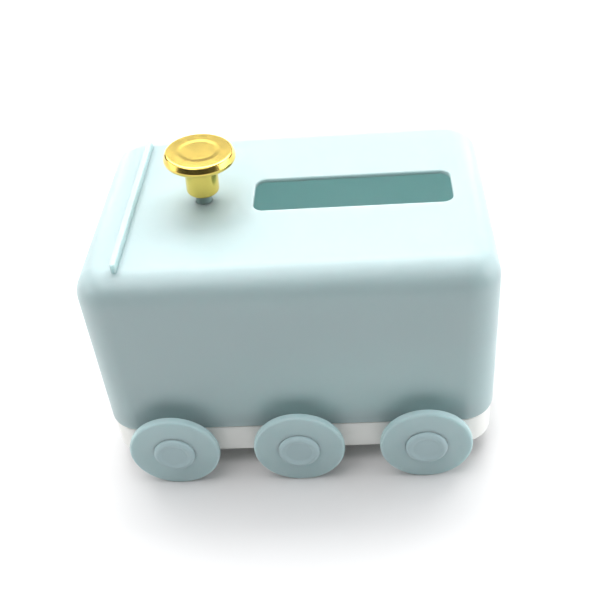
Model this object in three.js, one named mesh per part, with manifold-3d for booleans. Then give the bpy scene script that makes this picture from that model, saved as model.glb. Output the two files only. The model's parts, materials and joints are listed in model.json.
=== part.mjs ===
// Train-wagon money box: a moulded roof-and-walls shell with a long slot stands on a tray
// with six wheels, and a plated chimney knob is screwed to the roof.
//
// Frame: millimetres, +Z up. The origin is on the ground under the middle of the wagon. +X runs
// along its length from the chimney end, the front, to the slotted end, and +Y is the far side.

import * as THREE from 'three';
import { mergeVertices } from 'three/addons/utils/BufferGeometryUtils.js';
import Module from 'manifold-3d';

const wasm = await Module();
wasm.setup();

// ---------------------------------------------------------------- driving dimensions

const GAP = 0.3;                    // clearance between two pieces that meet

// body shell
const LENGTH = 200;
const WIDTH = 138;
const ROOF_TOP = 126;
const SHELL_BOTTOM = 29.7;
const SHELL_WALL = 2.6;
const CORNER_RADIUS = 17;           // upright corners, in plan
const ROOF_EDGE_RADIUS = 15;        // from the walls over into the roof

// slot through the roof
const SLOT_LENGTH = 99;
const SLOT_WIDTH = 28.4;
const SLOT_RADIUS = 5.5;
const SLOT_X = 32.4;
const SLOT_Y = 0.6;

// raised rib across the roof
const RIB_WIDTH = 2.7;
const RIB_HEIGHT = 4.4;
const RIB_LENGTH = 113;
const RIB_X = -78.4;
const RIB_Y = -2;

// base tray
const TRAY_BOTTOM = 12.2;
const TRAY_INSET = 0.8;             // the tray's skirt stands this far inside the shell's faces
const TRAY_WALL = 1.8;
const UPSTAND_HEIGHT = 9;           // lip that locates the shell from inside
const UPSTAND_WALL = 2;
const UPSTAND_CLEARANCE = 0.35;
const BEARING_RIB_Y = 38;
const BEARING_RIB_WALL = 3;
const BEARING_RIB_BOTTOM = 13.7;
const BEARING_BOSS_RADIUS = 5.5;
const BEARING_BOSS_LENGTH = 3;      // thickening around each bore, inside the skirt

// running gear
const AXLE_PITCH = 64.3;
const AXLE_RADIUS = 2.1;
const AXLE_HALF_LENGTH = 77.6;
const AXLE_BORE_RADIUS = 2.45;
const WHEEL_RADIUS = 23.25;
const WHEEL_BACK = 75.6;            // distance of the wheel's inner face from the middle plane
const WHEEL_THICKNESS = 4.2;
const WHEEL_EDGE_RADIUS = 1.1;
const WHEEL_BOSS_RADIUS = 6;
const WHEEL_BOSS_END = 69;
const CAP_RADIUS = 10.55;
const CAP_FRONT = 82.1;
const CAP_EDGE_RADIUS = 1.4;
const CAP_DISH = 0.7;
const CAP_SEAT_DEPTH = 1.4;         // recess in the wheel's outer face for the cap
const CAP_SPIGOT_RADIUS = 4.7;
const CAP_SPIGOT_BORE = 2.7;
const CAP_SPIGOT_LENGTH = 4.2;

// chimney knob and what holds it; their heights are above the roof, along the chimney's own axis
const CHIMNEY_X = -42.3;            // where the axis meets the roof
const CHIMNEY_Y = -1.8;
const CHIMNEY_LEAN = 3;             // degrees out of upright, towards the slot
const KNOB_TOP = 28.8;
const KNOB_RADIUS = 17.7;
const KNOB_RIM_THICKNESS = 5.5;
const KNOB_TOP_EDGE_RADIUS = 3;
const KNOB_LOWER_EDGE_RADIUS = 1.5;
const KNOB_STEM_RADIUS = 8.2;
const KNOB_STEM_BOTTOM = 5.4;
const KNOB_STEM_WALL = 1.8;
const KNOB_DISH_RADIUS = 9.4;
const KNOB_DISH = 0.7;
const KNOB_BOSS_RADIUS = 4.3;
const BUSH_RADIUS = 4;
const BUSH_BORE = 2.3;
const BUSH_FLANGE_RADIUS = 7;
const BUSH_FLANGE_THICKNESS = 1.7;
const BUSH_FLANGE_TOP = -3.3;        // low enough for the leaning flange to clear the roof
const WASHER_RADIUS = 5;
const WASHER_THICKNESS = 1;
const SCREW_RADIUS = 1.75;
const SCREW_HEAD_RADIUS = 3.6;
const SCREW_HEAD_HEIGHT = 2.3;
const SCREW_TIP = 19.2;

// facets
const CORNER_STEPS = 5;
const ROOF_EDGE_STEPS = 5;
const WHEEL_FACETS = 30;
const CAP_FACETS = 24;
const KNOB_FACETS = 32;
const SMALL_FACETS = 16;

// sizes that follow
const TRAY_TOP = SHELL_BOTTOM - GAP;
const AXLE_HEIGHT = WHEEL_RADIUS;
const WHEEL_FRONT = WHEEL_BACK + WHEEL_THICKNESS;
const ROOF_UNDERSIDE = ROOF_TOP - SHELL_WALL;

// ---------------------------------------------------------------- materials

function plastic(color, roughness) {
  return new THREE.MeshStandardMaterial({ color, roughness, metalness: 0 });
}

function metal(color, roughness) {
  return new THREE.MeshStandardMaterial({ color, roughness, metalness: 1 });
}

const bodyColour = () => plastic(0xb9dcda, 0.42);
const wheelColour = () => plastic(0xaccfd0, 0.45);
const trayColour = () => plastic(0xf2efe6, 0.5);
const goldPlate = () => metal(0xe2b93c, 0.16);
const steel = () => metal(0xb9bcc0, 0.35);

// ---------------------------------------------------------------- solids

/** A closed geometry as a manifold-3d solid. */
function solid(geometry) {
  geometry.deleteAttribute('normal');
  geometry.deleteAttribute('uv');
  const merged = mergeVertices(geometry, 1e-4);
  return new wasm.Manifold(new wasm.Mesh({
    numProp: 3,
    vertProperties: new Float32Array(merged.attributes.position.array),
    triVerts: new Uint32Array(merged.index.array),
  }));
}

/** A manifold-3d solid as a three.js geometry. */
function geometryOf(body) {
  const mesh = body.getMesh();
  const geometry = new THREE.BufferGeometry();
  geometry.setAttribute('position', new THREE.BufferAttribute(mesh.vertProperties, 3));
  geometry.setIndex(new THREE.BufferAttribute(mesh.triVerts, 1));
  geometry.computeVertexNormals();
  return geometry;
}

function block(width, depth, height, x, y, z) {
  return solid(new THREE.BoxGeometry(width, depth, height).translate(x, y, z));
}

/** A round bar along Y, centred at (x, y, z). */
function barAlongY(radius, length, x, y, z) {
  const bar = new THREE.CylinderGeometry(radius, radius, length, SMALL_FACETS);
  return solid(bar.translate(x, y, z));
}

/** A round bar along Z from bottom to top. */
function barAlongZ(radius, bottom, top, x, y) {
  const bar = new THREE.CylinderGeometry(radius, radius, top - bottom, SMALL_FACETS);
  return solid(bar.rotateX(Math.PI / 2).translate(x, y, (bottom + top) / 2));
}

/** The outline of a rectangle with round corners, centred on the origin. */
function roundedRectangle(halfLength, halfWidth, radius) {
  const shape = new THREE.Shape();
  const x = halfLength - radius;
  const y = halfWidth - radius;
  shape.absarc(x, y, radius, 0, Math.PI / 2);
  shape.absarc(-x, y, radius, Math.PI / 2, Math.PI);
  shape.absarc(-x, -y, radius, Math.PI, Math.PI * 1.5);
  shape.absarc(x, -y, radius, Math.PI * 1.5, Math.PI * 2);
  return shape;
}

/** An upright prism over a rounded rectangle. */
function prism(halfLength, halfWidth, radius, bottom, top) {
  const outline = roundedRectangle(halfLength, halfWidth, radius);
  const geometry = new THREE.ExtrudeGeometry(outline, {
    depth: top - bottom,
    bevelEnabled: false,
    curveSegments: CORNER_STEPS,
  });
  return solid(geometry.translate(0, 0, bottom));
}

/** A block with round upright corners whose top edge is rounded over, cut flat at the bottom. */
function domedBlock(halfLength, halfWidth, cornerRadius, edgeRadius, bottom, top) {
  const outline = roundedRectangle(
    halfLength - edgeRadius, halfWidth - edgeRadius, cornerRadius - edgeRadius);
  const geometry = new THREE.ExtrudeGeometry(outline, {
    depth: top - bottom - edgeRadius,
    bevelThickness: edgeRadius,
    bevelSize: edgeRadius,
    bevelSegments: ROOF_EDGE_STEPS,
    curveSegments: CORNER_STEPS,
  });
  const rounded = solid(geometry.translate(0, 0, bottom));
  const below = block(3 * halfLength, 3 * halfWidth, 2 * edgeRadius, 0, 0, bottom - edgeRadius);
  return rounded.subtract(below);
}

/** A turned piece: a closed profile of [radius, height] pairs revolved about Y. */
function turned(profile, facets) {
  const points = profile.map(([radius, height]) => new THREE.Vector2(radius, height));
  return new THREE.LatheGeometry(points, facets, Math.PI / facets);
}

/** Profile points along an arc, both ends included. The angles are in degrees. */
function arc(centreRadius, centreHeight, radius, from, to, steps) {
  const points = [];
  for (let step = 0; step <= steps; step += 1) {
    const angle = THREE.MathUtils.degToRad(from + (step / steps) * (to - from));
    points.push([
      centreRadius + radius * Math.cos(angle),
      centreHeight + radius * Math.sin(angle),
    ]);
  }
  return points;
}

/** A named mesh. */
function piece(name, geometry, material) {
  const mesh = new THREE.Mesh(geometry, material);
  mesh.name = name;
  return mesh;
}

// ---------------------------------------------------------------- body shell

function bodyShell() {
  const halfLength = LENGTH / 2;
  const halfWidth = WIDTH / 2;
  const outside = domedBlock(
    halfLength, halfWidth, CORNER_RADIUS, ROOF_EDGE_RADIUS, SHELL_BOTTOM, ROOF_TOP);
  const inside = domedBlock(
    halfLength - SHELL_WALL, halfWidth - SHELL_WALL, CORNER_RADIUS - SHELL_WALL,
    ROOF_EDGE_RADIUS - SHELL_WALL, SHELL_BOTTOM - 1, ROOF_UNDERSIDE);

  const slot = prism(SLOT_LENGTH / 2, SLOT_WIDTH / 2, SLOT_RADIUS, ROOF_UNDERSIDE - 2, ROOF_TOP + 2)
    .translate([SLOT_X, SLOT_Y, 0]);
  const bushHole = barAlongZ(BUSH_RADIUS + GAP, -SHELL_WALL - 2, 2, 0, 0)
    .rotate([0, CHIMNEY_LEAN, 0])
    .translate([CHIMNEY_X, CHIMNEY_Y, ROOF_TOP]);
  const ribFoot = ROOF_TOP - SHELL_WALL / 2;
  const ribTop = ROOF_TOP + RIB_HEIGHT;
  const rib = block(
    RIB_WIDTH, RIB_LENGTH, ribTop - ribFoot, RIB_X, RIB_Y, (ribFoot + ribTop) / 2);

  return outside.subtract(inside).subtract(slot).subtract(bushHole).add(rib);
}

// ---------------------------------------------------------------- base tray

function axlePositions() {
  return [-AXLE_PITCH, 0, AXLE_PITCH];
}

function baseTray() {
  const halfLength = LENGTH / 2 - TRAY_INSET;
  const halfWidth = WIDTH / 2 - TRAY_INSET;
  const radius = CORNER_RADIUS - TRAY_INSET;
  const floorBottom = TRAY_TOP - TRAY_WALL;

  const hollow = prism(
    halfLength - TRAY_WALL, halfWidth - TRAY_WALL, radius - TRAY_WALL,
    TRAY_BOTTOM - 1, floorBottom);
  let tray = prism(halfLength, halfWidth, radius, TRAY_BOTTOM, TRAY_TOP).subtract(hollow);

  const lipInset = SHELL_WALL + UPSTAND_CLEARANCE;
  const lipRadius = CORNER_RADIUS - lipInset;
  const lipOutside = prism(
    LENGTH / 2 - lipInset, WIDTH / 2 - lipInset, lipRadius,
    TRAY_TOP - TRAY_WALL / 2, TRAY_TOP + UPSTAND_HEIGHT);
  const lipInside = prism(
    LENGTH / 2 - lipInset - UPSTAND_WALL, WIDTH / 2 - lipInset - UPSTAND_WALL,
    lipRadius - UPSTAND_WALL, TRAY_TOP, TRAY_TOP + UPSTAND_HEIGHT + 1);
  tray = tray.add(lipOutside).subtract(lipInside);

  const ribTop = floorBottom + TRAY_WALL / 2;
  for (const side of [-1, 1]) {
    tray = tray.add(block(
      2 * halfLength - TRAY_WALL, BEARING_RIB_WALL, ribTop - BEARING_RIB_BOTTOM,
      0, side * BEARING_RIB_Y, (ribTop + BEARING_RIB_BOTTOM) / 2));
    const bossY = side * (halfWidth - TRAY_WALL / 2 - BEARING_BOSS_LENGTH / 2);
    for (const x of axlePositions()) {
      tray = tray.add(barAlongY(
        BEARING_BOSS_RADIUS, BEARING_BOSS_LENGTH + TRAY_WALL / 2, x, bossY, AXLE_HEIGHT));
    }
  }
  for (const x of axlePositions()) {
    tray = tray.subtract(barAlongY(AXLE_BORE_RADIUS, WIDTH, x, 0, AXLE_HEIGHT));
  }
  return tray;
}

// ---------------------------------------------------------------- running gear

function axle() {
  const chamfer = 0.5;
  return turned([
    [0, -AXLE_HALF_LENGTH],
    [AXLE_RADIUS - chamfer, -AXLE_HALF_LENGTH],
    [AXLE_RADIUS, -AXLE_HALF_LENGTH + chamfer],
    [AXLE_RADIUS, AXLE_HALF_LENGTH - chamfer],
    [AXLE_RADIUS - chamfer, AXLE_HALF_LENGTH],
    [0, AXLE_HALF_LENGTH],
  ], SMALL_FACETS);
}

/** The flats of the faceted rim touch the ground, so the corners lie just outside the radius. */
function wheel() {
  const rim = WHEEL_RADIUS / Math.cos(Math.PI / WHEEL_FACETS);
  const seat = WHEEL_FRONT - CAP_SEAT_DEPTH;
  const spigotSeat = seat - CAP_SPIGOT_LENGTH;
  const edge = WHEEL_EDGE_RADIUS;
  return turned([
    [AXLE_BORE_RADIUS, WHEEL_BOSS_END],
    [WHEEL_BOSS_RADIUS, WHEEL_BOSS_END],
    [WHEEL_BOSS_RADIUS, WHEEL_BACK],
    ...arc(rim - edge, WHEEL_BACK + edge, edge, -90, 0, 2),
    ...arc(rim - edge, WHEEL_FRONT - edge, edge, 0, 90, 2),
    [CAP_RADIUS + GAP, WHEEL_FRONT],
    [CAP_RADIUS + GAP, seat],
    [CAP_SPIGOT_RADIUS + GAP, seat],
    [CAP_SPIGOT_RADIUS + GAP, spigotSeat],
    [AXLE_BORE_RADIUS, spigotSeat],
    [AXLE_BORE_RADIUS, WHEEL_BOSS_END],
  ], WHEEL_FACETS);
}

/** A dished disc with a tubular spigot that grips the end of the axle. */
function hubCap() {
  const back = WHEEL_FRONT - CAP_SEAT_DEPTH + GAP;
  const spigotEnd = back - CAP_SPIGOT_LENGTH + 2 * GAP;
  const edge = CAP_EDGE_RADIUS;
  const dishRadius = CAP_RADIUS - edge - 1;
  return turned([
    [0, back + GAP],
    [CAP_SPIGOT_BORE, back + GAP],
    [CAP_SPIGOT_BORE, spigotEnd],
    [CAP_SPIGOT_RADIUS, spigotEnd],
    [CAP_SPIGOT_RADIUS, back],
    [CAP_RADIUS, back],
    ...arc(CAP_RADIUS - edge, CAP_FRONT - edge, edge, 0, 90, 3),
    [dishRadius, CAP_FRONT - CAP_DISH / 3],
    [dishRadius / 2, CAP_FRONT - CAP_DISH],
    [0, CAP_FRONT - CAP_DISH],
  ], CAP_FACETS);
}

/** An axle with a wheel and a hub cap on each end. */
function axleSet(position, x) {
  const group = new THREE.Group();
  group.position.set(x, 0, AXLE_HEIGHT);
  group.add(piece(`axle_${position}`, axle(), steel()));
  for (const side of ['near', 'far']) {
    const end = new THREE.Group();
    end.rotation.x = side === 'near' ? Math.PI : 0;
    end.add(piece(`wheel_${position}_${side}`, wheel(), wheelColour()));
    end.add(piece(`hub_cap_${position}_${side}`, hubCap(), wheelColour()));
    group.add(end);
  }
  return group;
}

// ---------------------------------------------------------------- chimney knob

/** A mushroom knob with a hollow stem and a screw boss inside it. */
function chimneyKnob() {
  const topEdge = KNOB_TOP_EDGE_RADIUS;
  const lowerEdge = KNOB_LOWER_EDGE_RADIUS;
  const underside = KNOB_TOP - KNOB_RIM_THICKNESS;
  const ceiling = underside - 1.2;
  const bossBottom = KNOB_STEM_BOTTOM + 1.6;
  const stemInside = KNOB_STEM_RADIUS - KNOB_STEM_WALL;
  const holeRadius = SCREW_RADIUS + GAP;
  const holeTop = SCREW_TIP + 0.5;
  const lip = 2;
  const neck = 1.6;
  return turned([
    [0, holeTop],
    [holeRadius, holeTop],
    [holeRadius, bossBottom],
    [KNOB_BOSS_RADIUS, bossBottom],
    [KNOB_BOSS_RADIUS, ceiling],
    [stemInside, ceiling],
    [stemInside, KNOB_STEM_BOTTOM],
    ...arc(KNOB_STEM_RADIUS - lip, KNOB_STEM_BOTTOM + lip, lip, -90, 0, 2),
    ...arc(KNOB_STEM_RADIUS + neck, underside - neck, neck, 180, 90, 2),
    ...arc(KNOB_RADIUS - lowerEdge, underside + lowerEdge, lowerEdge, -90, 0, 3),
    ...arc(KNOB_RADIUS - topEdge, KNOB_TOP - topEdge, topEdge, 0, 90, 4),
    [KNOB_DISH_RADIUS + 1.2, KNOB_TOP],
    [KNOB_DISH_RADIUS - 0.6, KNOB_TOP - KNOB_DISH],
    [0, KNOB_TOP - KNOB_DISH],
  ], KNOB_FACETS);
}

/** The flanged bush stands up through the roof and carries the knob above it. */
function chimneyBush() {
  const flangeTop = BUSH_FLANGE_TOP;
  const flangeBottom = flangeTop - BUSH_FLANGE_THICKNESS;
  const top = KNOB_STEM_BOTTOM + 1.6 - GAP;
  return turned([
    [BUSH_BORE, flangeBottom],
    [BUSH_FLANGE_RADIUS, flangeBottom],
    [BUSH_FLANGE_RADIUS, flangeTop],
    [BUSH_RADIUS, flangeTop],
    [BUSH_RADIUS, top],
    [BUSH_BORE, top],
    [BUSH_BORE, flangeBottom],
  ], SMALL_FACETS);
}

function knobWasher() {
  const top = BUSH_FLANGE_TOP - BUSH_FLANGE_THICKNESS - GAP;
  const bottom = top - WASHER_THICKNESS;
  return turned([
    [BUSH_BORE, bottom],
    [WASHER_RADIUS, bottom],
    [WASHER_RADIUS, top],
    [BUSH_BORE, top],
    [BUSH_BORE, bottom],
  ], SMALL_FACETS);
}

/** A pan-head screw, head down inside the shell, with a cross recess. */
function knobScrew() {
  const headTop = BUSH_FLANGE_TOP - BUSH_FLANGE_THICKNESS - WASHER_THICKNESS - 2 * GAP;
  const headBottom = headTop - SCREW_HEAD_HEIGHT;
  const screw = solid(turned([
    [0, headBottom],
    [SCREW_HEAD_RADIUS - 1.2, headBottom],
    [SCREW_HEAD_RADIUS, headBottom + 1],
    [SCREW_HEAD_RADIUS, headTop],
    [SCREW_RADIUS, headTop],
    [SCREW_RADIUS, SCREW_TIP - 1],
    [SCREW_RADIUS - 0.7, SCREW_TIP],
    [0, SCREW_TIP],
  ], SMALL_FACETS));
  const armLength = 3.6;
  const armWidth = 0.9;
  const depth = 1.4;
  const cross = block(armLength, 2 * depth, armWidth, 0, headBottom, 0)
    .add(block(armWidth, 2 * depth, armLength, 0, headBottom, 0));
  return geometryOf(screw.subtract(cross));
}

function chimney() {
  const group = new THREE.Group();
  group.position.set(CHIMNEY_X, CHIMNEY_Y, ROOF_TOP);
  group.rotation.set(Math.PI / 2, THREE.MathUtils.degToRad(CHIMNEY_LEAN), 0, 'YXZ');
  group.add(piece('chimney_knob', chimneyKnob(), goldPlate()));
  group.add(piece('chimney_bush', chimneyBush(), bodyColour()));
  group.add(piece('knob_washer', knobWasher(), steel()));
  group.add(piece('knob_screw', knobScrew(), steel()));
  return group;
}

// ---------------------------------------------------------------- assembly

const wagon = new THREE.Group();
wagon.add(piece('body_shell', geometryOf(bodyShell()), bodyColour()));
wagon.add(piece('base_tray', geometryOf(baseTray()), trayColour()));
['front', 'middle', 'rear'].forEach((position, index) => {
  wagon.add(axleSet(position, axlePositions()[index]));
});
wagon.add(chimney());

export default wagon;
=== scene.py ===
"""Looks of the wagon money box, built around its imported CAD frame.

Everything is in metres in the row's frame: +Z up, the origin on the ground under the middle of the
wagon, +X from the chimney end to the slotted end, +Y the far side.
"""

import json
import math

import bmesh
import bpy
from mathutils import Matrix, Vector


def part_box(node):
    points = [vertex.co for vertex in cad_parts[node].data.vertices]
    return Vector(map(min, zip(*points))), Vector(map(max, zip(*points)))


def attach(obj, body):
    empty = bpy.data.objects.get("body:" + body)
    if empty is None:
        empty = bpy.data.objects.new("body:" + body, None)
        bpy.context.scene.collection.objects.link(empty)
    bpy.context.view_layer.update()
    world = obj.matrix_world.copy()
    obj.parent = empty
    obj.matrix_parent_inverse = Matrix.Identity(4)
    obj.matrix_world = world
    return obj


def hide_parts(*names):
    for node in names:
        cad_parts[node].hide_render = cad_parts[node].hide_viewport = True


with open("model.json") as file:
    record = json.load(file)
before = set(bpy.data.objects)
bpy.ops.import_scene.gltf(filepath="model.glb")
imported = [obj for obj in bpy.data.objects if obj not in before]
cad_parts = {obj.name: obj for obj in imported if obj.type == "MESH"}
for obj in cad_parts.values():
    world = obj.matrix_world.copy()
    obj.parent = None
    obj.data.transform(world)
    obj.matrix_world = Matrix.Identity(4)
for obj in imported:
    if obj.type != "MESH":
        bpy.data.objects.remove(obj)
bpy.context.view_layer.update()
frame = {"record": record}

# ---------------------------------------------------------------- sizes

MM = 0.001

# shell, from its box and the roof mount
ROOF = next(m for m in frame["record"]["mounts"] if m["name"] == "roof_top")["pos_m"][2]
SHELL_LOW, SHELL_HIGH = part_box("body_shell")
SHELL_WALL = 2.6 * MM
CORNER_RADIUS = 17 * MM
ROOF_EDGE_RADIUS = 15 * MM
SLOT_LENGTH = 99 * MM
SLOT_WIDTH = 28.4 * MM
SLOT_RADIUS = 5.5 * MM
SLOT_CENTRE = (32.4 * MM, 0.6 * MM)
RIB_WIDTH = 2.7 * MM
RIB_LENGTH = 113 * MM
RIB_CENTRE = (-78.4 * MM, -2 * MM)
RIB_EDGE = 0.5 * MM
SLOT_EDGE = 0.6 * MM
SHELL_LOWER_EDGE = 1.6 * MM
SHELL_INNER_EDGE = 0.4 * MM

# tray
TRAY_LOW, TRAY_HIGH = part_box("base_tray")
TRAY_WALL = 1.8 * MM
TRAY_EDGE = 0.4 * MM
TRAY_LOWER_EDGE = 0.7 * MM
LIP_HEIGHT = 9 * MM
LIP_INSET = 2.95 * MM
LIP_WALL = 2 * MM
BEARING_RIB_Y = 38 * MM
BEARING_RIB_WALL = 3 * MM
BEARING_RIB_LIFT = 1.5 * MM
BEARING_BOSS_RADIUS = 5.5 * MM
BEARING_BOSS_LENGTH = 3 * MM

# running gear
AXLE_BORE_RADIUS = 2.45 * MM
AXLE_RADIUS = 2.1 * MM
AXLE_CHAMFER = 0.5 * MM
BORE_REACH = 0.1
WHEEL_BOSS_RADIUS = 6 * MM
WHEEL_BOSS_LENGTH = 6.6 * MM
WHEEL_BOSS_FILLET = 1 * MM
WHEEL_EDGE_RADIUS = 1.3 * MM
CAP_RADIUS = 10.55 * MM
CAP_THICKNESS = 3.4 * MM
CAP_EDGE_RADIUS = 1.9 * MM
CAP_DISH = 0.8 * MM
CAP_DISH_EASE = 2.6 * MM
CAP_GAP = 0.03 * MM
CAP_SEAT_DEPTH = 1.4 * MM
CAP_SPIGOT_RADIUS = 4.7 * MM
CAP_SPIGOT_BORE = 2.7 * MM
CAP_SPIGOT_LENGTH = 4.2 * MM
TURNED_EDGE = 0.25 * MM

# chimney; its heights are above the roof, along its own leaning axis
KNOB_TOP = 28.8 * MM
KNOB_RADIUS = 17.7 * MM
KNOB_RIM_THICKNESS = 5.5 * MM
KNOB_RIM_SLOPE = 21
KNOB_TOP_EDGE_RADIUS = 1.5 * MM
KNOB_LOWER_EDGE_RADIUS = 2 * MM
KNOB_DISH_RADIUS = 9.4 * MM
KNOB_DISH = 0.1 * MM
KNOB_DISH_EASE = 1.6 * MM
KNOB_LIP = 2 * MM
KNOB_NECK = 1.6 * MM
KNOB_STEM_RADIUS = 8.2 * MM
KNOB_STEM_BOTTOM = 5.4 * MM
KNOB_STEM_WALL = 1.8 * MM
KNOB_BOSS_RADIUS = 4.3 * MM
KNOB_BOSS_BOTTOM = 7 * MM
BUSH_RADIUS = 4 * MM
BUSH_BORE = 2.3 * MM
BUSH_TOP = 6.7 * MM
BUSH_FLANGE_RADIUS = 7 * MM
BUSH_FLANGE_THICKNESS = 1.7 * MM
BUSH_FLANGE_TOP = -3.3 * MM
WASHER_RADIUS = 5 * MM
WASHER_THICKNESS = 1 * MM
SCREW_RADIUS = 1.75 * MM
SCREW_HEAD_RADIUS = 3.6 * MM
SCREW_HEAD_HEIGHT = 2.3 * MM
SCREW_TIP = 19.2 * MM
SCREW_PITCH = 1.2 * MM
SCREW_SHANK_LENGTH = 6 * MM
SCREW_CROSS_ARM = 1.8 * MM
SCREW_CROSS_HALF_WIDTH = 0.45 * MM
SCREW_CROSS_DEPTH = 1.4 * MM
GAP = 0.3 * MM

# fineness of the visual meshes
CORNER_STEPS = 20
EDGE_STEPS = 14
TURNED_STEPS = 128
SMALL_TURNED_STEPS = 64
SHARP_ANGLE = 40

# studio
CAMERA_POSITION = (0.03924, -0.38661, 0.37982)
CAMERA_YAW, CAMERA_PITCH, CAMERA_ROLL = -0.100, 0.695, -0.106
CAMERA_LENS = 54.95
FLOOR_REACH = 1.7
LIGHTS_AIM = (0, 0, 0.07)
WORLD_GLOW = 0.03
WORLD_SEEN = 0.95


# ---------------------------------------------------------------- mesh helpers

def mesh_object(name, vertices, faces):
    """A new object with that mesh, its normals facing out."""
    mesh = bpy.data.meshes.new(name)
    mesh.from_pydata([tuple(v) for v in vertices], [], faces)
    work = bmesh.new()
    work.from_mesh(mesh)
    bmesh.ops.remove_doubles(work, verts=work.verts, dist=1e-7)
    bmesh.ops.recalc_face_normals(work, faces=work.faces)
    work.to_mesh(mesh)
    work.free()
    made = bpy.data.objects.new(name, mesh)
    bpy.context.scene.collection.objects.link(made)
    return made


def rounded_outline(half_x, half_y, radius, steps=CORNER_STEPS):
    """Points round a rectangle with round corners, anticlockwise from the +X, +Y corner."""
    points = []
    for corner in range(4):
        start = corner * math.pi / 2
        side_x = 1 if corner in (0, 3) else -1
        side_y = 1 if corner in (0, 1) else -1
        centre = Vector((side_x * (half_x - radius), side_y * (half_y - radius)))
        for step in range(steps + 1):
            angle = start + step / steps * math.pi / 2
            points.append(centre + radius * Vector((math.cos(angle), math.sin(angle))))
    return points


def swept(name, half_x, half_y, radius, profile):
    """A closed solid: a profile of (inset, height) pairs led round a rounded rectangle."""
    return loft(name, [
        (rounded_outline(half_x - inset, half_y - inset, radius - inset), height)
        for inset, height in profile])


def loft(name, sections):
    """A closed solid through sections, each an outline and its height, capped at both ends."""
    count = len(sections[0][0])
    vertices = [(x, y, z) for outline, z in sections for x, y in outline]
    faces = [tuple(range(count))[::-1]]
    for level in range(len(sections) - 1):
        low = level * count
        high = low + count
        for i in range(count):
            j = (i + 1) % count
            faces.append((low + i, low + j, high + j, high + i))
    last = (len(sections) - 1) * count
    faces.append(tuple(range(last, last + count)))
    return mesh_object(name, vertices, faces)


def cuboid(name, low, high):
    """A block between two corners."""
    outline = [(low[0], low[1]), (high[0], low[1]), (high[0], high[1]), (low[0], high[1])]
    return loft(name, [(outline, low[2]), (outline, high[2])])


def arc(centre_radius, centre_height, radius, start, end, steps):
    """Profile points along an arc, both ends included, angles in degrees."""
    points = []
    for step in range(steps + 1):
        angle = math.radians(start + step / steps * (end - start))
        points.append((centre_radius + radius * math.cos(angle),
                       centre_height + radius * math.sin(angle)))
    return points


def dish(outer, inner, top, depth, steps=12):
    """Profile points that ease from a flat rim down into a flat dish, and on to the axis."""
    points = []
    for step in range(steps + 1):
        share = step / steps
        fall = 0.5 - 0.5 * math.cos(math.pi * share)
        points.append((outer + share * (inner - outer), top - depth * fall))
    return points + [(inner / 2, top - depth), (0, top - depth)]


def turned(name, profile, steps=TURNED_STEPS):
    """A profile of (radius, height) pairs revolved about Z; points on the axis close it."""
    vertices = []
    rings = []
    for radius, height in profile:
        if radius < 1e-9:
            rings.append([len(vertices)])
            vertices.append((0, 0, height))
            continue
        rings.append(list(range(len(vertices), len(vertices) + steps)))
        for step in range(steps):
            angle = step / steps * 2 * math.pi
            vertices.append((radius * math.cos(angle), radius * math.sin(angle), height))
    faces = []
    for low, high in zip(rings, rings[1:]):
        for i in range(steps):
            j = (i + 1) % steps
            if len(low) == 1:
                faces.append((low[0], high[j], high[i]))
            elif len(high) == 1:
                faces.append((low[i], low[j], high[0]))
            else:
                faces.append((low[i], low[j], high[j], high[i]))
    return mesh_object(name, vertices, faces)


def place(made, matrix):
    """Moves the vertices, so the object itself stays at the origin."""
    made.data.transform(matrix)
    if matrix.determinant() < 0:
        made.data.flip_normals()
    return made


def along_y(centre, side):
    """Turns a piece made along +Z to point along side * Y, and moves it to centre."""
    return Matrix.Translation(centre) @ Matrix.Rotation(-side * math.pi / 2, 4, "X")


def settle(made):
    """Applies an object's modifiers to its mesh."""
    graph = bpy.context.evaluated_depsgraph_get()
    result = bpy.data.meshes.new_from_object(made.evaluated_get(graph))
    made.modifiers.clear()
    made.data = result
    return made


def combine(target, tools, operation):
    """Joins or cuts target with the tools, which are used up."""
    for tool in tools:
        modifier = target.modifiers.new("combine", "BOOLEAN")
        modifier.operation = operation
        modifier.solver = "EXACT"
        modifier.object = tool
        settle(target)
        bpy.data.objects.remove(tool)
    return target


def soften(made, width, segments=3, angle=35):
    """Rounds the crisp edges and smooths the shading, flats staying flat."""
    bevel = made.modifiers.new("edges", "BEVEL")
    bevel.width = width
    bevel.segments = segments
    bevel.limit_method = "ANGLE"
    bevel.angle_limit = math.radians(angle)
    bevel.use_clamp_overlap = True
    bevel.miter_outer = "MITER_ARC"
    settle(made)
    return shade_smooth(made)


def shade_smooth(made):
    """Smooth shading weighted by face area, with crisp edges left crisp."""
    made.data.shade_smooth()
    made.data.set_sharp_from_angle(angle=math.radians(SHARP_ANGLE))
    weighted = made.modifiers.new("normals", "WEIGHTED_NORMAL")
    weighted.mode = "FACE_AREA"
    weighted.weight = 100
    weighted.keep_sharp = True
    return settle(made)


# ---------------------------------------------------------------- materials

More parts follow.
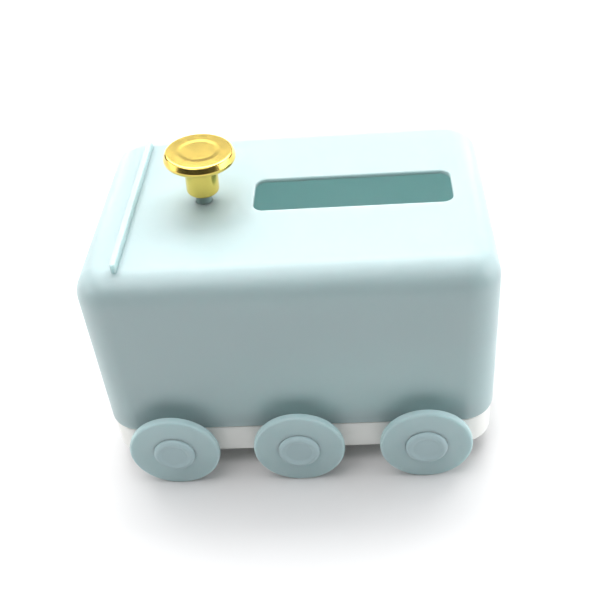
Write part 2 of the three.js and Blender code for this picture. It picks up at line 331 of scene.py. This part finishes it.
class Surface:
    """A Principled material and the few procedural nodes that feed it."""

    def __init__(self, name, base, roughness, metallic=0.0):
        self.material = bpy.data.materials.new(name)
        self.material.use_nodes = True
        self.tree = self.material.node_tree
        self.shader = self.tree.nodes["Principled BSDF"]
        self.base = base
        self.shader.inputs["Base Color"].default_value = (*base, 1)
        self.shader.inputs["Roughness"].default_value = roughness
        self.shader.inputs["Metallic"].default_value = metallic
        self.coordinates = self.tree.nodes.new("ShaderNodeTexCoord").outputs["Object"]

    def link(self, output, target):
        self.tree.links.new(output, target)

    def noise(self, scale, detail=2.0, stretch=(1, 1, 1)):
        """Noise with features about 1 / scale metres across."""
        mapping = self.tree.nodes.new("ShaderNodeMapping")
        mapping.inputs["Scale"].default_value = stretch
        self.link(self.coordinates, mapping.inputs["Vector"])
        texture = self.tree.nodes.new("ShaderNodeTexNoise")
        texture.inputs["Scale"].default_value = scale
        texture.inputs["Detail"].default_value = detail
        self.link(mapping.outputs["Vector"], texture.inputs["Vector"])
        return texture.outputs["Fac"]

    def spread(self, value, low, high):
        """Maps noise from its middle range to low..high."""
        ramp = self.tree.nodes.new("ShaderNodeMapRange")
        ramp.inputs["From Min"].default_value = 0.3
        ramp.inputs["From Max"].default_value = 0.7
        ramp.inputs["To Min"].default_value = low
        ramp.inputs["To Max"].default_value = high
        self.link(value, ramp.inputs["Value"])
        return ramp.outputs["Result"]

    def vary_colour(self, value, factor):
        """Shifts the base colour a little from darker to lighter by noise."""
        mix = self.tree.nodes.new("ShaderNodeMix")
        mix.data_type = "RGBA"
        mix.inputs["A"].default_value = (*[c * (1 - factor) for c in self.base], 1)
        mix.inputs["B"].default_value = (*[min(1, c * (1 + factor)) for c in self.base], 1)
        self.link(self.spread(value, 0, 1), mix.inputs["Factor"])
        self.link(mix.outputs["Result"], self.shader.inputs["Base Color"])

    def vary_roughness(self, value, low, high):
        self.link(self.spread(value, low, high), self.shader.inputs["Roughness"])

    def bump(self, value, distance, below=None):
        """Adds fine relief of about that height, on top of the relief below."""
        node = self.tree.nodes.new("ShaderNodeBump")
        node.inputs["Strength"].default_value = 1
        node.inputs["Distance"].default_value = distance
        self.link(value, node.inputs["Height"])
        if below:
            self.link(below, node.inputs["Normal"])
        self.link(node.outputs["Normal"], self.shader.inputs["Normal"])
        return node.outputs["Normal"]


def moulded_plastic(name, base, roughness, subsurface=0.0, reach=4 * MM):
    """Satin moulded plastic: a fine spark-eroded grain, faint flow clouds and finger wear."""
    surface = Surface(name, base, roughness)
    surface.vary_colour(surface.noise(14, 3), 0.012)
    surface.vary_roughness(surface.noise(55, 4), roughness - 0.04, roughness + 0.05)
    waves = surface.bump(surface.noise(45, 1), 0.03 * MM)
    surface.bump(surface.noise(2600, 2), 0.012 * MM, waves)
    surface.shader.inputs["IOR"].default_value = 1.47
    surface.shader.inputs["Subsurface Weight"].default_value = subsurface
    surface.shader.inputs["Subsurface Radius"].default_value = (0.84, 1.0, 0.96)
    surface.shader.inputs["Subsurface Scale"].default_value = reach
    return surface.material


def gold_plate():
    """Bright gold plating over moulded plastic, with a faint orange peel."""
    surface = Surface("gold_plate", (0.9, 0.655, 0.16), 0.24, metallic=1)
    surface.vary_colour(surface.noise(90, 3), 0.03)
    surface.vary_roughness(surface.noise(260, 4), 0.22, 0.26)
    peel = surface.bump(surface.noise(420, 2), 0.012 * MM)
    surface.bump(surface.noise(3000, 1), 0.002 * MM, peel)
    return surface.material


def turned_steel():
    """Zinc-plated steel with fine marks round its axis."""
    surface = Surface("turned_steel", (0.58, 0.59, 0.61), 0.3, metallic=1)
    surface.vary_colour(surface.noise(300, 3), 0.06)
    surface.vary_roughness(surface.noise(700, 3), 0.22, 0.4)
    surface.bump(surface.noise(5000, 1, (0.1, 1, 0.1)), 0.004 * MM)
    return surface.material


MINT = (0.41, 0.525, 0.535)
MINT_WHEEL = (0.455, 0.6, 0.615)
MINT_CAP = (0.415, 0.555, 0.58)
# The bush's mint is darker and greener than the shell's: painted shade, for the post standing in
# the shadow under the knob.
MINT_BUSH_SHADED = (0.26, 0.36, 0.34)
WARM_WHITE = (0.95, 0.95, 0.915)

SHELL_PLASTIC = moulded_plastic("mint_shell", MINT, 0.36, 1.0, 8.4 * MM)
BUSH_PLASTIC_SHADED = moulded_plastic("mint_bush_painted_shade", MINT_BUSH_SHADED, 0.4)
WHEEL_PLASTIC = moulded_plastic("mint_wheel", MINT_WHEEL, 0.38, 1.0, 4 * MM)
CAP_PLASTIC = moulded_plastic("mint_cap", MINT_CAP, 0.36)
TRAY_PLASTIC = moulded_plastic("white_tray", WARM_WHITE, 0.42)
GOLD = gold_plate()
STEEL = turned_steel()


def finish_piece(made, material, body, node):
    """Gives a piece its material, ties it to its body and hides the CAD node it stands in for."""
    made.data.materials.clear()
    made.data.materials.append(material)
    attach(made, body)
    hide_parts(node)
    return made


# ---------------------------------------------------------------- shell

def slot_cutter():
    """The slot's shape, flared at both faces of the roof to leave rounded edges."""
    soft = SLOT_EDGE
    flare = arc(soft, 0, soft, 180, 100, 5)
    low = [(out, ROOF - SHELL_WALL + soft - rise) for out, rise in flare][::-1]
    high = [(out, ROOF - soft + rise) for out, rise in flare]
    low.insert(0, (low[0][0], ROOF - 2 * SHELL_WALL))
    high.append((high[-1][0], ROOF + SHELL_WALL))
    sections = []
    for out, height in low + high:
        outline = rounded_outline(SLOT_LENGTH / 2 + out, SLOT_WIDTH / 2 + out, SLOT_RADIUS + out)
        sections.append(([(x + SLOT_CENTRE[0], y + SLOT_CENTRE[1]) for x, y in outline], height))
    return loft("slot", sections)


def roof_rib():
    """The raised bar across the roof, with rounded upper edges and ends."""
    soft = RIB_EDGE
    profile = [(0, ROOF - SHELL_WALL / 2), (0, SHELL_HIGH.z - soft)]
    profile += [(soft - out, SHELL_HIGH.z - soft + rise)
                for out, rise in arc(0, 0, soft, 0, 90, 4)[1:]]
    sections = []
    for inset, height in profile:
        outline = rounded_outline(RIB_WIDTH / 2 - inset, RIB_LENGTH / 2 - inset,
                                  soft * 1.6 - inset, 4)
        sections.append(([(x + RIB_CENTRE[0], y + RIB_CENTRE[1]) for x, y in outline], height))
    return loft("rib", sections)


def make_shell():
    """The roof and walls in one piece, with the rib, the slot and the bush's hole."""
    half_x = (SHELL_HIGH.x - SHELL_LOW.x) / 2
    half_y = (SHELL_HIGH.y - SHELL_LOW.y) / 2
    bottom = SHELL_LOW.z
    edge = SHELL_LOWER_EDGE
    inner_edge = SHELL_INNER_EDGE
    inner_roll = ROOF_EDGE_RADIUS - SHELL_WALL
    spring = ROOF - ROOF_EDGE_RADIUS
    shell = swept("shell", half_x, half_y, CORNER_RADIUS, [
        *arc(ROOF_EDGE_RADIUS, spring, -inner_roll, -90, 0, EDGE_STEPS),
        (SHELL_WALL, spring - 1 * MM),
        (SHELL_WALL, bottom + 2 * edge),
        *arc(SHELL_WALL - inner_edge, bottom + inner_edge, inner_edge, 0, -90, 4),
        *arc(edge, bottom + edge, -edge, 90, 0, 8),
        (0, bottom + 2 * edge),
        (0, spring - 1 * MM),
        *arc(ROOF_EDGE_RADIUS, spring, -ROOF_EDGE_RADIUS, 0, -90, EDGE_STEPS),
    ])
    hole = turned("hole", [(0, -2 * SHELL_WALL), (BUSH_RADIUS + GAP, -2 * SHELL_WALL),
                           (BUSH_RADIUS + GAP, SHELL_WALL), (0, SHELL_WALL)], SMALL_TURNED_STEPS)
    place(hole, CHIMNEY)
    combine(shell, [roof_rib()], "UNION")
    combine(shell, [slot_cutter(), hole], "DIFFERENCE")
    shade_smooth(shell)
    return finish_piece(shell, SHELL_PLASTIC, "shell", "body_shell")


# ---------------------------------------------------------------- tray

def drill(made, x, z):
    """Bores an axle hole right across a piece."""
    bore = turned("bore", [
        (0, -BORE_REACH), (AXLE_BORE_RADIUS, -BORE_REACH),
        (AXLE_BORE_RADIUS, BORE_REACH), (0, BORE_REACH),
    ], SMALL_TURNED_STEPS)
    combine(made, [place(bore, along_y((x, 0, z), 1))], "DIFFERENCE")


def join(target, others):
    """Adds the meshes of the others to target; the others are used up."""
    work = bmesh.new()
    work.from_mesh(target.data)
    for other in others:
        work.from_mesh(other.data)
        bpy.data.objects.remove(other)
    work.to_mesh(target.data)
    work.free()
    return target


def make_tray():
    """Skirt, floor and lip in one section, with two bearing ribs and a boss at each bore."""
    half_x = (TRAY_HIGH.x - TRAY_LOW.x) / 2
    half_y = (TRAY_HIGH.y - TRAY_LOW.y) / 2
    inset = SHELL_HIGH.x - TRAY_HIGH.x
    bottom = TRAY_LOW.z
    high = TRAY_HIGH.z
    top = high - LIP_HEIGHT
    floor = top - TRAY_WALL
    lip = LIP_INSET - inset
    soft = TRAY_EDGE
    edge = TRAY_LOWER_EDGE
    tray = swept("tray", half_x, half_y, CORNER_RADIUS - inset, [
        (TRAY_WALL, floor),
        (TRAY_WALL, bottom + 2 * edge),
        *arc(TRAY_WALL - soft, bottom + soft, soft, 0, -90, 4),
        *arc(edge, bottom + edge, -edge, 90, 0, 6),
        (0, bottom + 2 * edge),
        (0, top - 2 * edge),
        *arc(soft, top - soft, -soft, 0, -90, 4),
        (lip, top),
        (lip, top + soft),
        (lip, high - 2 * soft),
        *arc(lip + soft, high - soft, -soft, 0, -90, 4),
        *arc(lip + LIP_WALL - soft, high - soft, soft, 90, 0, 4),
        (lip + LIP_WALL, top),
    ])
    boss_end = BEARING_BOSS_LENGTH + TRAY_WALL / 2
    parts = []
    axle_centres = []
    for position in AXLES:
        axle_low, axle_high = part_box(f"axle_{position}")
        axle_centres.append(((axle_low.x + axle_high.x) / 2, (axle_low.z + axle_high.z) / 2))
    for side in (-1, 1):
        y = side * BEARING_RIB_Y
        rib = cuboid(
            "bearing_rib",
            (-half_x + TRAY_WALL / 2, y - BEARING_RIB_WALL / 2, bottom + BEARING_RIB_LIFT),
            (half_x - TRAY_WALL / 2, y + BEARING_RIB_WALL / 2, floor + TRAY_WALL / 2))
        parts.append(rib)
        for x, z in axle_centres:
            drill(rib, x, z)
            boss = turned("boss", [
                (AXLE_BORE_RADIUS, 0), (BEARING_BOSS_RADIUS, 0),
                (BEARING_BOSS_RADIUS, boss_end - soft), (BEARING_BOSS_RADIUS - soft, boss_end),
                (AXLE_BORE_RADIUS, boss_end), (AXLE_BORE_RADIUS, 0),
            ], SMALL_TURNED_STEPS)
            parts.append(place(boss, along_y((x, side * (half_y - TRAY_WALL / 2), z), -side)))
    for x, z in axle_centres:
        drill(tray, x, z)
    join(tray, parts)
    shade_smooth(tray)
    return finish_piece(tray, TRAY_PLASTIC, "tray", "base_tray")


# ---------------------------------------------------------------- running gear

AXLES = ("front", "middle", "rear")


def make_axle(position):
    """A plain steel bar with chamfered ends."""
    low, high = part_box(f"axle_{position}")
    length = high.y - low.y
    chamfer = AXLE_CHAMFER
    axle = turned(f"axle_{position}_bar", [
        (0, 0), (AXLE_RADIUS - chamfer, 0), (AXLE_RADIUS, chamfer),
        (AXLE_RADIUS, length - chamfer), (AXLE_RADIUS - chamfer, length), (0, length),
    ], SMALL_TURNED_STEPS)
    place(axle, along_y(((low.x + high.x) / 2, low.y, (low.z + high.z) / 2), 1))
    soften(axle, 0.1 * MM)
    return finish_piece(axle, STEEL, f"{position}_axle", f"axle_{position}")


def make_wheel(position, end):
    """Heights run outwards from the inner end of the boss."""
    node = f"wheel_{position}_{end}"
    low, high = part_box(node)
    side = -1 if end == "near" else 1
    radius = (high.z - low.z) / 2
    depth = high.y - low.y
    back = WHEEL_BOSS_LENGTH
    edge = WHEEL_EDGE_RADIUS
    seat = depth - CAP_SEAT_DEPTH
    spigot_seat = seat - CAP_SPIGOT_LENGTH
    fillet = WHEEL_BOSS_FILLET
    soft = TURNED_EDGE
    wheel = turned(f"{node}_disc", [
        (AXLE_BORE_RADIUS, 0),
        (WHEEL_BOSS_RADIUS - soft, 0),
        (WHEEL_BOSS_RADIUS, soft),
        *arc(WHEEL_BOSS_RADIUS + fillet, back - fillet, fillet, 180, 90, 6),
        *arc(radius - edge, back + edge, edge, -90, 0, 10),
        *arc(radius - edge, depth - edge, edge, 0, 90, 10),
        (CAP_RADIUS + CAP_GAP, depth),
        (CAP_RADIUS + CAP_GAP, seat),
        (CAP_SPIGOT_RADIUS + CAP_GAP, seat),
        (CAP_SPIGOT_RADIUS + CAP_GAP, spigot_seat),
        (AXLE_BORE_RADIUS, spigot_seat),
        (AXLE_BORE_RADIUS, 0),
    ])
    inner = low.y if side > 0 else high.y
    place(wheel, along_y(((low.x + high.x) / 2, inner, (low.z + high.z) / 2), side))
    shade_smooth(wheel)
    return finish_piece(wheel, WHEEL_PLASTIC, f"{position}_axle", node)


def make_hub_cap(position, end):
    """Heights run outwards from the inner end of the spigot."""
    node = f"hub_cap_{position}_{end}"
    low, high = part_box(node)
    side = -1 if end == "near" else 1
    depth = high.y - low.y
    edge = CAP_EDGE_RADIUS
    back = depth - CAP_THICKNESS
    bore_end = back + GAP
    soft = TURNED_EDGE
    cap = turned(f"{node}_disc", [
        (0, bore_end),
        (CAP_SPIGOT_BORE, bore_end),
        (CAP_SPIGOT_BORE, 0),
        (CAP_SPIGOT_RADIUS - soft, 0),
        (CAP_SPIGOT_RADIUS, soft),
        (CAP_SPIGOT_RADIUS, back),
        (CAP_RADIUS - soft, back),
        (CAP_RADIUS, back + soft),
        *arc(CAP_RADIUS - edge, depth - edge, edge, 0, 90, 10),
        *dish(CAP_RADIUS - edge, CAP_RADIUS - edge - CAP_DISH_EASE, depth, CAP_DISH),
    ])
    inner = low.y if side > 0 else high.y
    place(cap, along_y(((low.x + high.x) / 2, inner, (low.z + high.z) / 2), side))
    shade_smooth(cap)
    return finish_piece(cap, CAP_PLASTIC, f"{position}_axle", node)


# ---------------------------------------------------------------- chimney

def chimney_axis():
    """Takes +Z to the leaning axis of the chimney, from the point where it meets the roof."""
    joint = next(j for j in frame["record"]["behaviour"]["joints"] if j["name"] == "knob_turn")
    turn = Vector((0, 0, 1)).rotation_difference(Vector(joint["axis"])).to_matrix().to_4x4()
    return Matrix.Translation(joint["pos_m"]) @ turn


def make_knob():
    """A hollow stem under a disc with a sloping rim and a shallow dish in its top."""
    underside = KNOB_TOP - KNOB_RIM_THICKNESS
    ceiling = underside - 1.2 * MM
    stem_inside = KNOB_STEM_RADIUS - KNOB_STEM_WALL
    hole_radius = SCREW_RADIUS + GAP
    hole_top = SCREW_TIP + 0.5 * MM
    lip = KNOB_LIP
    neck = KNOB_NECK
    lower_edge = arc(
        KNOB_RADIUS - KNOB_LOWER_EDGE_RADIUS, underside + KNOB_LOWER_EDGE_RADIUS,
        KNOB_LOWER_EDGE_RADIUS, -90, KNOB_RIM_SLOPE, 14)
    slope = math.radians(KNOB_RIM_SLOPE)
    rise = KNOB_TOP - KNOB_TOP_EDGE_RADIUS * (1 - math.sin(slope)) - lower_edge[-1][1]
    rim_top = (lower_edge[-1][0] - rise * math.tan(slope)
               - KNOB_TOP_EDGE_RADIUS * math.cos(slope))
    knob = turned("knob", [
        (0, hole_top),
        (hole_radius, hole_top),
        (hole_radius, KNOB_BOSS_BOTTOM),
        (KNOB_BOSS_RADIUS, KNOB_BOSS_BOTTOM),
        (KNOB_BOSS_RADIUS, ceiling),
        (stem_inside, ceiling),
        (stem_inside, KNOB_STEM_BOTTOM),
        *arc(KNOB_STEM_RADIUS - lip, KNOB_STEM_BOTTOM + lip, lip, -90, 0, 12),
        *arc(KNOB_STEM_RADIUS + neck, underside - neck, neck, 180, 90, 10),
        *lower_edge,
        *arc(rim_top, KNOB_TOP - KNOB_TOP_EDGE_RADIUS, KNOB_TOP_EDGE_RADIUS,
             KNOB_RIM_SLOPE, 90, 12),
        *dish(KNOB_DISH_RADIUS + KNOB_DISH_EASE, KNOB_DISH_RADIUS - KNOB_DISH_EASE,
              KNOB_TOP, KNOB_DISH),
    ])
    place(knob, CHIMNEY)
    shade_smooth(knob)
    return finish_piece(knob, GOLD, "knob", "chimney_knob")


def make_bush():
    """The body-coloured post under the knob, with its flange against the roof's underside; its
    mint is darkened, painted shade for the shadow it stands in.
    """
    flange_bottom = BUSH_FLANGE_TOP - BUSH_FLANGE_THICKNESS
    bush = turned("bush", [
        (BUSH_BORE, flange_bottom), (BUSH_FLANGE_RADIUS, flange_bottom),
        (BUSH_FLANGE_RADIUS, BUSH_FLANGE_TOP), (BUSH_RADIUS, BUSH_FLANGE_TOP),
        (BUSH_RADIUS, BUSH_TOP), (BUSH_BORE, BUSH_TOP), (BUSH_BORE, flange_bottom),
    ], SMALL_TURNED_STEPS)
    place(bush, CHIMNEY)
    soften(bush, 0.2 * MM)
    return finish_piece(bush, BUSH_PLASTIC_SHADED, "shell", "chimney_bush")


def make_washer():
    """The flat washer between the bush's flange and the screw's head."""
    high = BUSH_FLANGE_TOP - BUSH_FLANGE_THICKNESS - GAP
    low = high - WASHER_THICKNESS
    washer = turned("washer", [
        (BUSH_BORE, low), (WASHER_RADIUS, low), (WASHER_RADIUS, high), (BUSH_BORE, high),
        (BUSH_BORE, low),
    ], SMALL_TURNED_STEPS)
    place(washer, CHIMNEY)
    soften(washer, 0.12 * MM)
    return finish_piece(washer, STEEL, "shell", "knob_washer")


def make_screw():
    """The pan-head screw that holds the knob, with a cross recess and rings for its thread."""
    head_top = BUSH_FLANGE_TOP - BUSH_FLANGE_THICKNESS - WASHER_THICKNESS - 2 * GAP
    head_low = head_top - SCREW_HEAD_HEIGHT
    shank = SCREW_RADIUS - 0.25 * MM
    pitch = SCREW_PITCH
    height = head_top + SCREW_SHANK_LENGTH
    profile = [
        (0, head_low), (SCREW_HEAD_RADIUS - 1.2 * MM, head_low),
        (SCREW_HEAD_RADIUS - 0.3 * MM, head_low + 0.5 * MM),
        (SCREW_HEAD_RADIUS, head_low + 1.1 * MM), (SCREW_HEAD_RADIUS, head_top),
        (shank, head_top), (shank, height),
    ]
    while height + pitch < SCREW_TIP - 1 * MM:
        profile.append((SCREW_RADIUS, height + pitch / 2))
        profile.append((SCREW_RADIUS - 0.4 * MM, height + pitch))
        height += pitch
    profile.append((SCREW_RADIUS - 0.9 * MM, SCREW_TIP - 0.3 * MM))
    profile.append((0, SCREW_TIP))
    screw = turned("screw", profile, SMALL_TURNED_STEPS)
    arm = SCREW_CROSS_ARM
    half = SCREW_CROSS_HALF_WIDTH
    depth = SCREW_CROSS_DEPTH
    cross = [
        cuboid("slot_x", (-arm, -half, head_low - depth), (arm, half, head_low + depth)),
        cuboid("slot_y", (-half, -arm, head_low - depth), (half, arm, head_low + depth))]
    combine(screw, cross, "DIFFERENCE")
    place(screw, CHIMNEY)
    soften(screw, 0.06 * MM, segments=1)
    return finish_piece(screw, STEEL, "knob", "knob_screw")


# ---------------------------------------------------------------- studio

def make_camera():
    """In front of the wagon and above it, looking down, turned and tilted a little."""
    yaw, pitch, roll = CAMERA_YAW, CAMERA_PITCH, CAMERA_ROLL
    forward = Vector((math.sin(yaw) * math.cos(pitch), math.cos(yaw) * math.cos(pitch),
                      -math.sin(pitch)))
    level = Vector((math.cos(yaw), -math.sin(yaw), 0))
    upward = level.cross(forward)
    right = math.cos(roll) * level + math.sin(roll) * upward
    up = -math.sin(roll) * level + math.cos(roll) * upward
    data = bpy.data.cameras.new("camera")
    data.lens = CAMERA_LENS
    camera = bpy.data.objects.new("camera", data)
    turn = Matrix((right, up, -forward)).transposed().to_4x4()
    camera.matrix_world = Matrix.Translation(CAMERA_POSITION) @ turn
    bpy.context.scene.collection.objects.link(camera)
    bpy.context.scene.camera = camera


def make_floor():
    """The plain pale sheet that the wagon stands on."""
    reach = FLOOR_REACH
    floor = mesh_object("floor", [(-reach, -reach, 0), (reach, -reach, 0),
                                  (reach, reach, 0), (-reach, reach, 0)], [(0, 1, 2, 3)])
    surface = Surface("studio_floor", (0.76, 0.76, 0.76), 0.6)
    surface.vary_colour(surface.noise(3, 2), 0.004)
    floor.data.materials.append(surface.material)


def area_light(name, place_at, width, height, power, colour=(1, 1, 1)):
    """A softbox or panel, facing the middle of the wagon."""
    data = bpy.data.lights.new(name, "AREA")
    data.shape = "RECTANGLE"
    data.size = width
    data.size_y = height
    data.energy = power
    data.color = colour
    light = bpy.data.objects.new(name, data)
    light.location = place_at
    towards = Vector(LIGHTS_AIM) - Vector(place_at)
    light.rotation_euler = towards.to_track_quat("-Z", "Y").to_euler()
    bpy.context.scene.collection.objects.link(light)


def make_lights():
    """Softboxes and panels round the wagon, and a white world behind it."""
    area_light("top_softbox", (-0.1, 0.08, 1.1), 1.8, 0.9, 13.6, (1, 0.98, 0.99))
    area_light("high_back_panel", (0, 0.95, 1.48), 3.0, 1.1, 40, (0.98, 1, 1))
    area_light("back_softbox", (0, 1.5, 0.3), 2.6, 0.5, 15)
    area_light("high_front_panel", (0, -0.6, 1.0), 1.2, 0.6, 1.8)
    area_light("left_softbox", (-1.2, 0, 0.45), 1.0, 0.8, 4.6)
    area_light("right_softbox", (1.2, 0, 0.45), 1.0, 0.8, 9.6, (0.96, 0.98, 1))
    world = bpy.data.worlds.new("studio")
    world.use_nodes = True
    nodes = world.node_tree.nodes
    links = world.node_tree.links
    background = nodes["Background"]
    background.inputs["Color"].default_value = (1, 1, 1, 1)
    seen = nodes.new("ShaderNodeLightPath").outputs["Is Camera Ray"]
    strength = nodes.new("ShaderNodeMapRange")
    strength.inputs["To Min"].default_value = WORLD_GLOW
    strength.inputs["To Max"].default_value = WORLD_SEEN
    links.new(seen, strength.inputs["Value"])
    links.new(strength.outputs["Result"], background.inputs["Strength"])
    bpy.context.scene.world = world
    bpy.context.scene.view_settings.view_transform = "Standard"


# ---------------------------------------------------------------- assembly

CHIMNEY = chimney_axis()

make_camera()
make_shell()
make_tray()
for axle_position in AXLES:
    make_axle(axle_position)
    for axle_end in ("near", "far"):
        make_wheel(axle_position, axle_end)
        make_hub_cap(axle_position, axle_end)
make_knob()
make_bush()
make_washer()
make_screw()
make_floor()
make_lights()
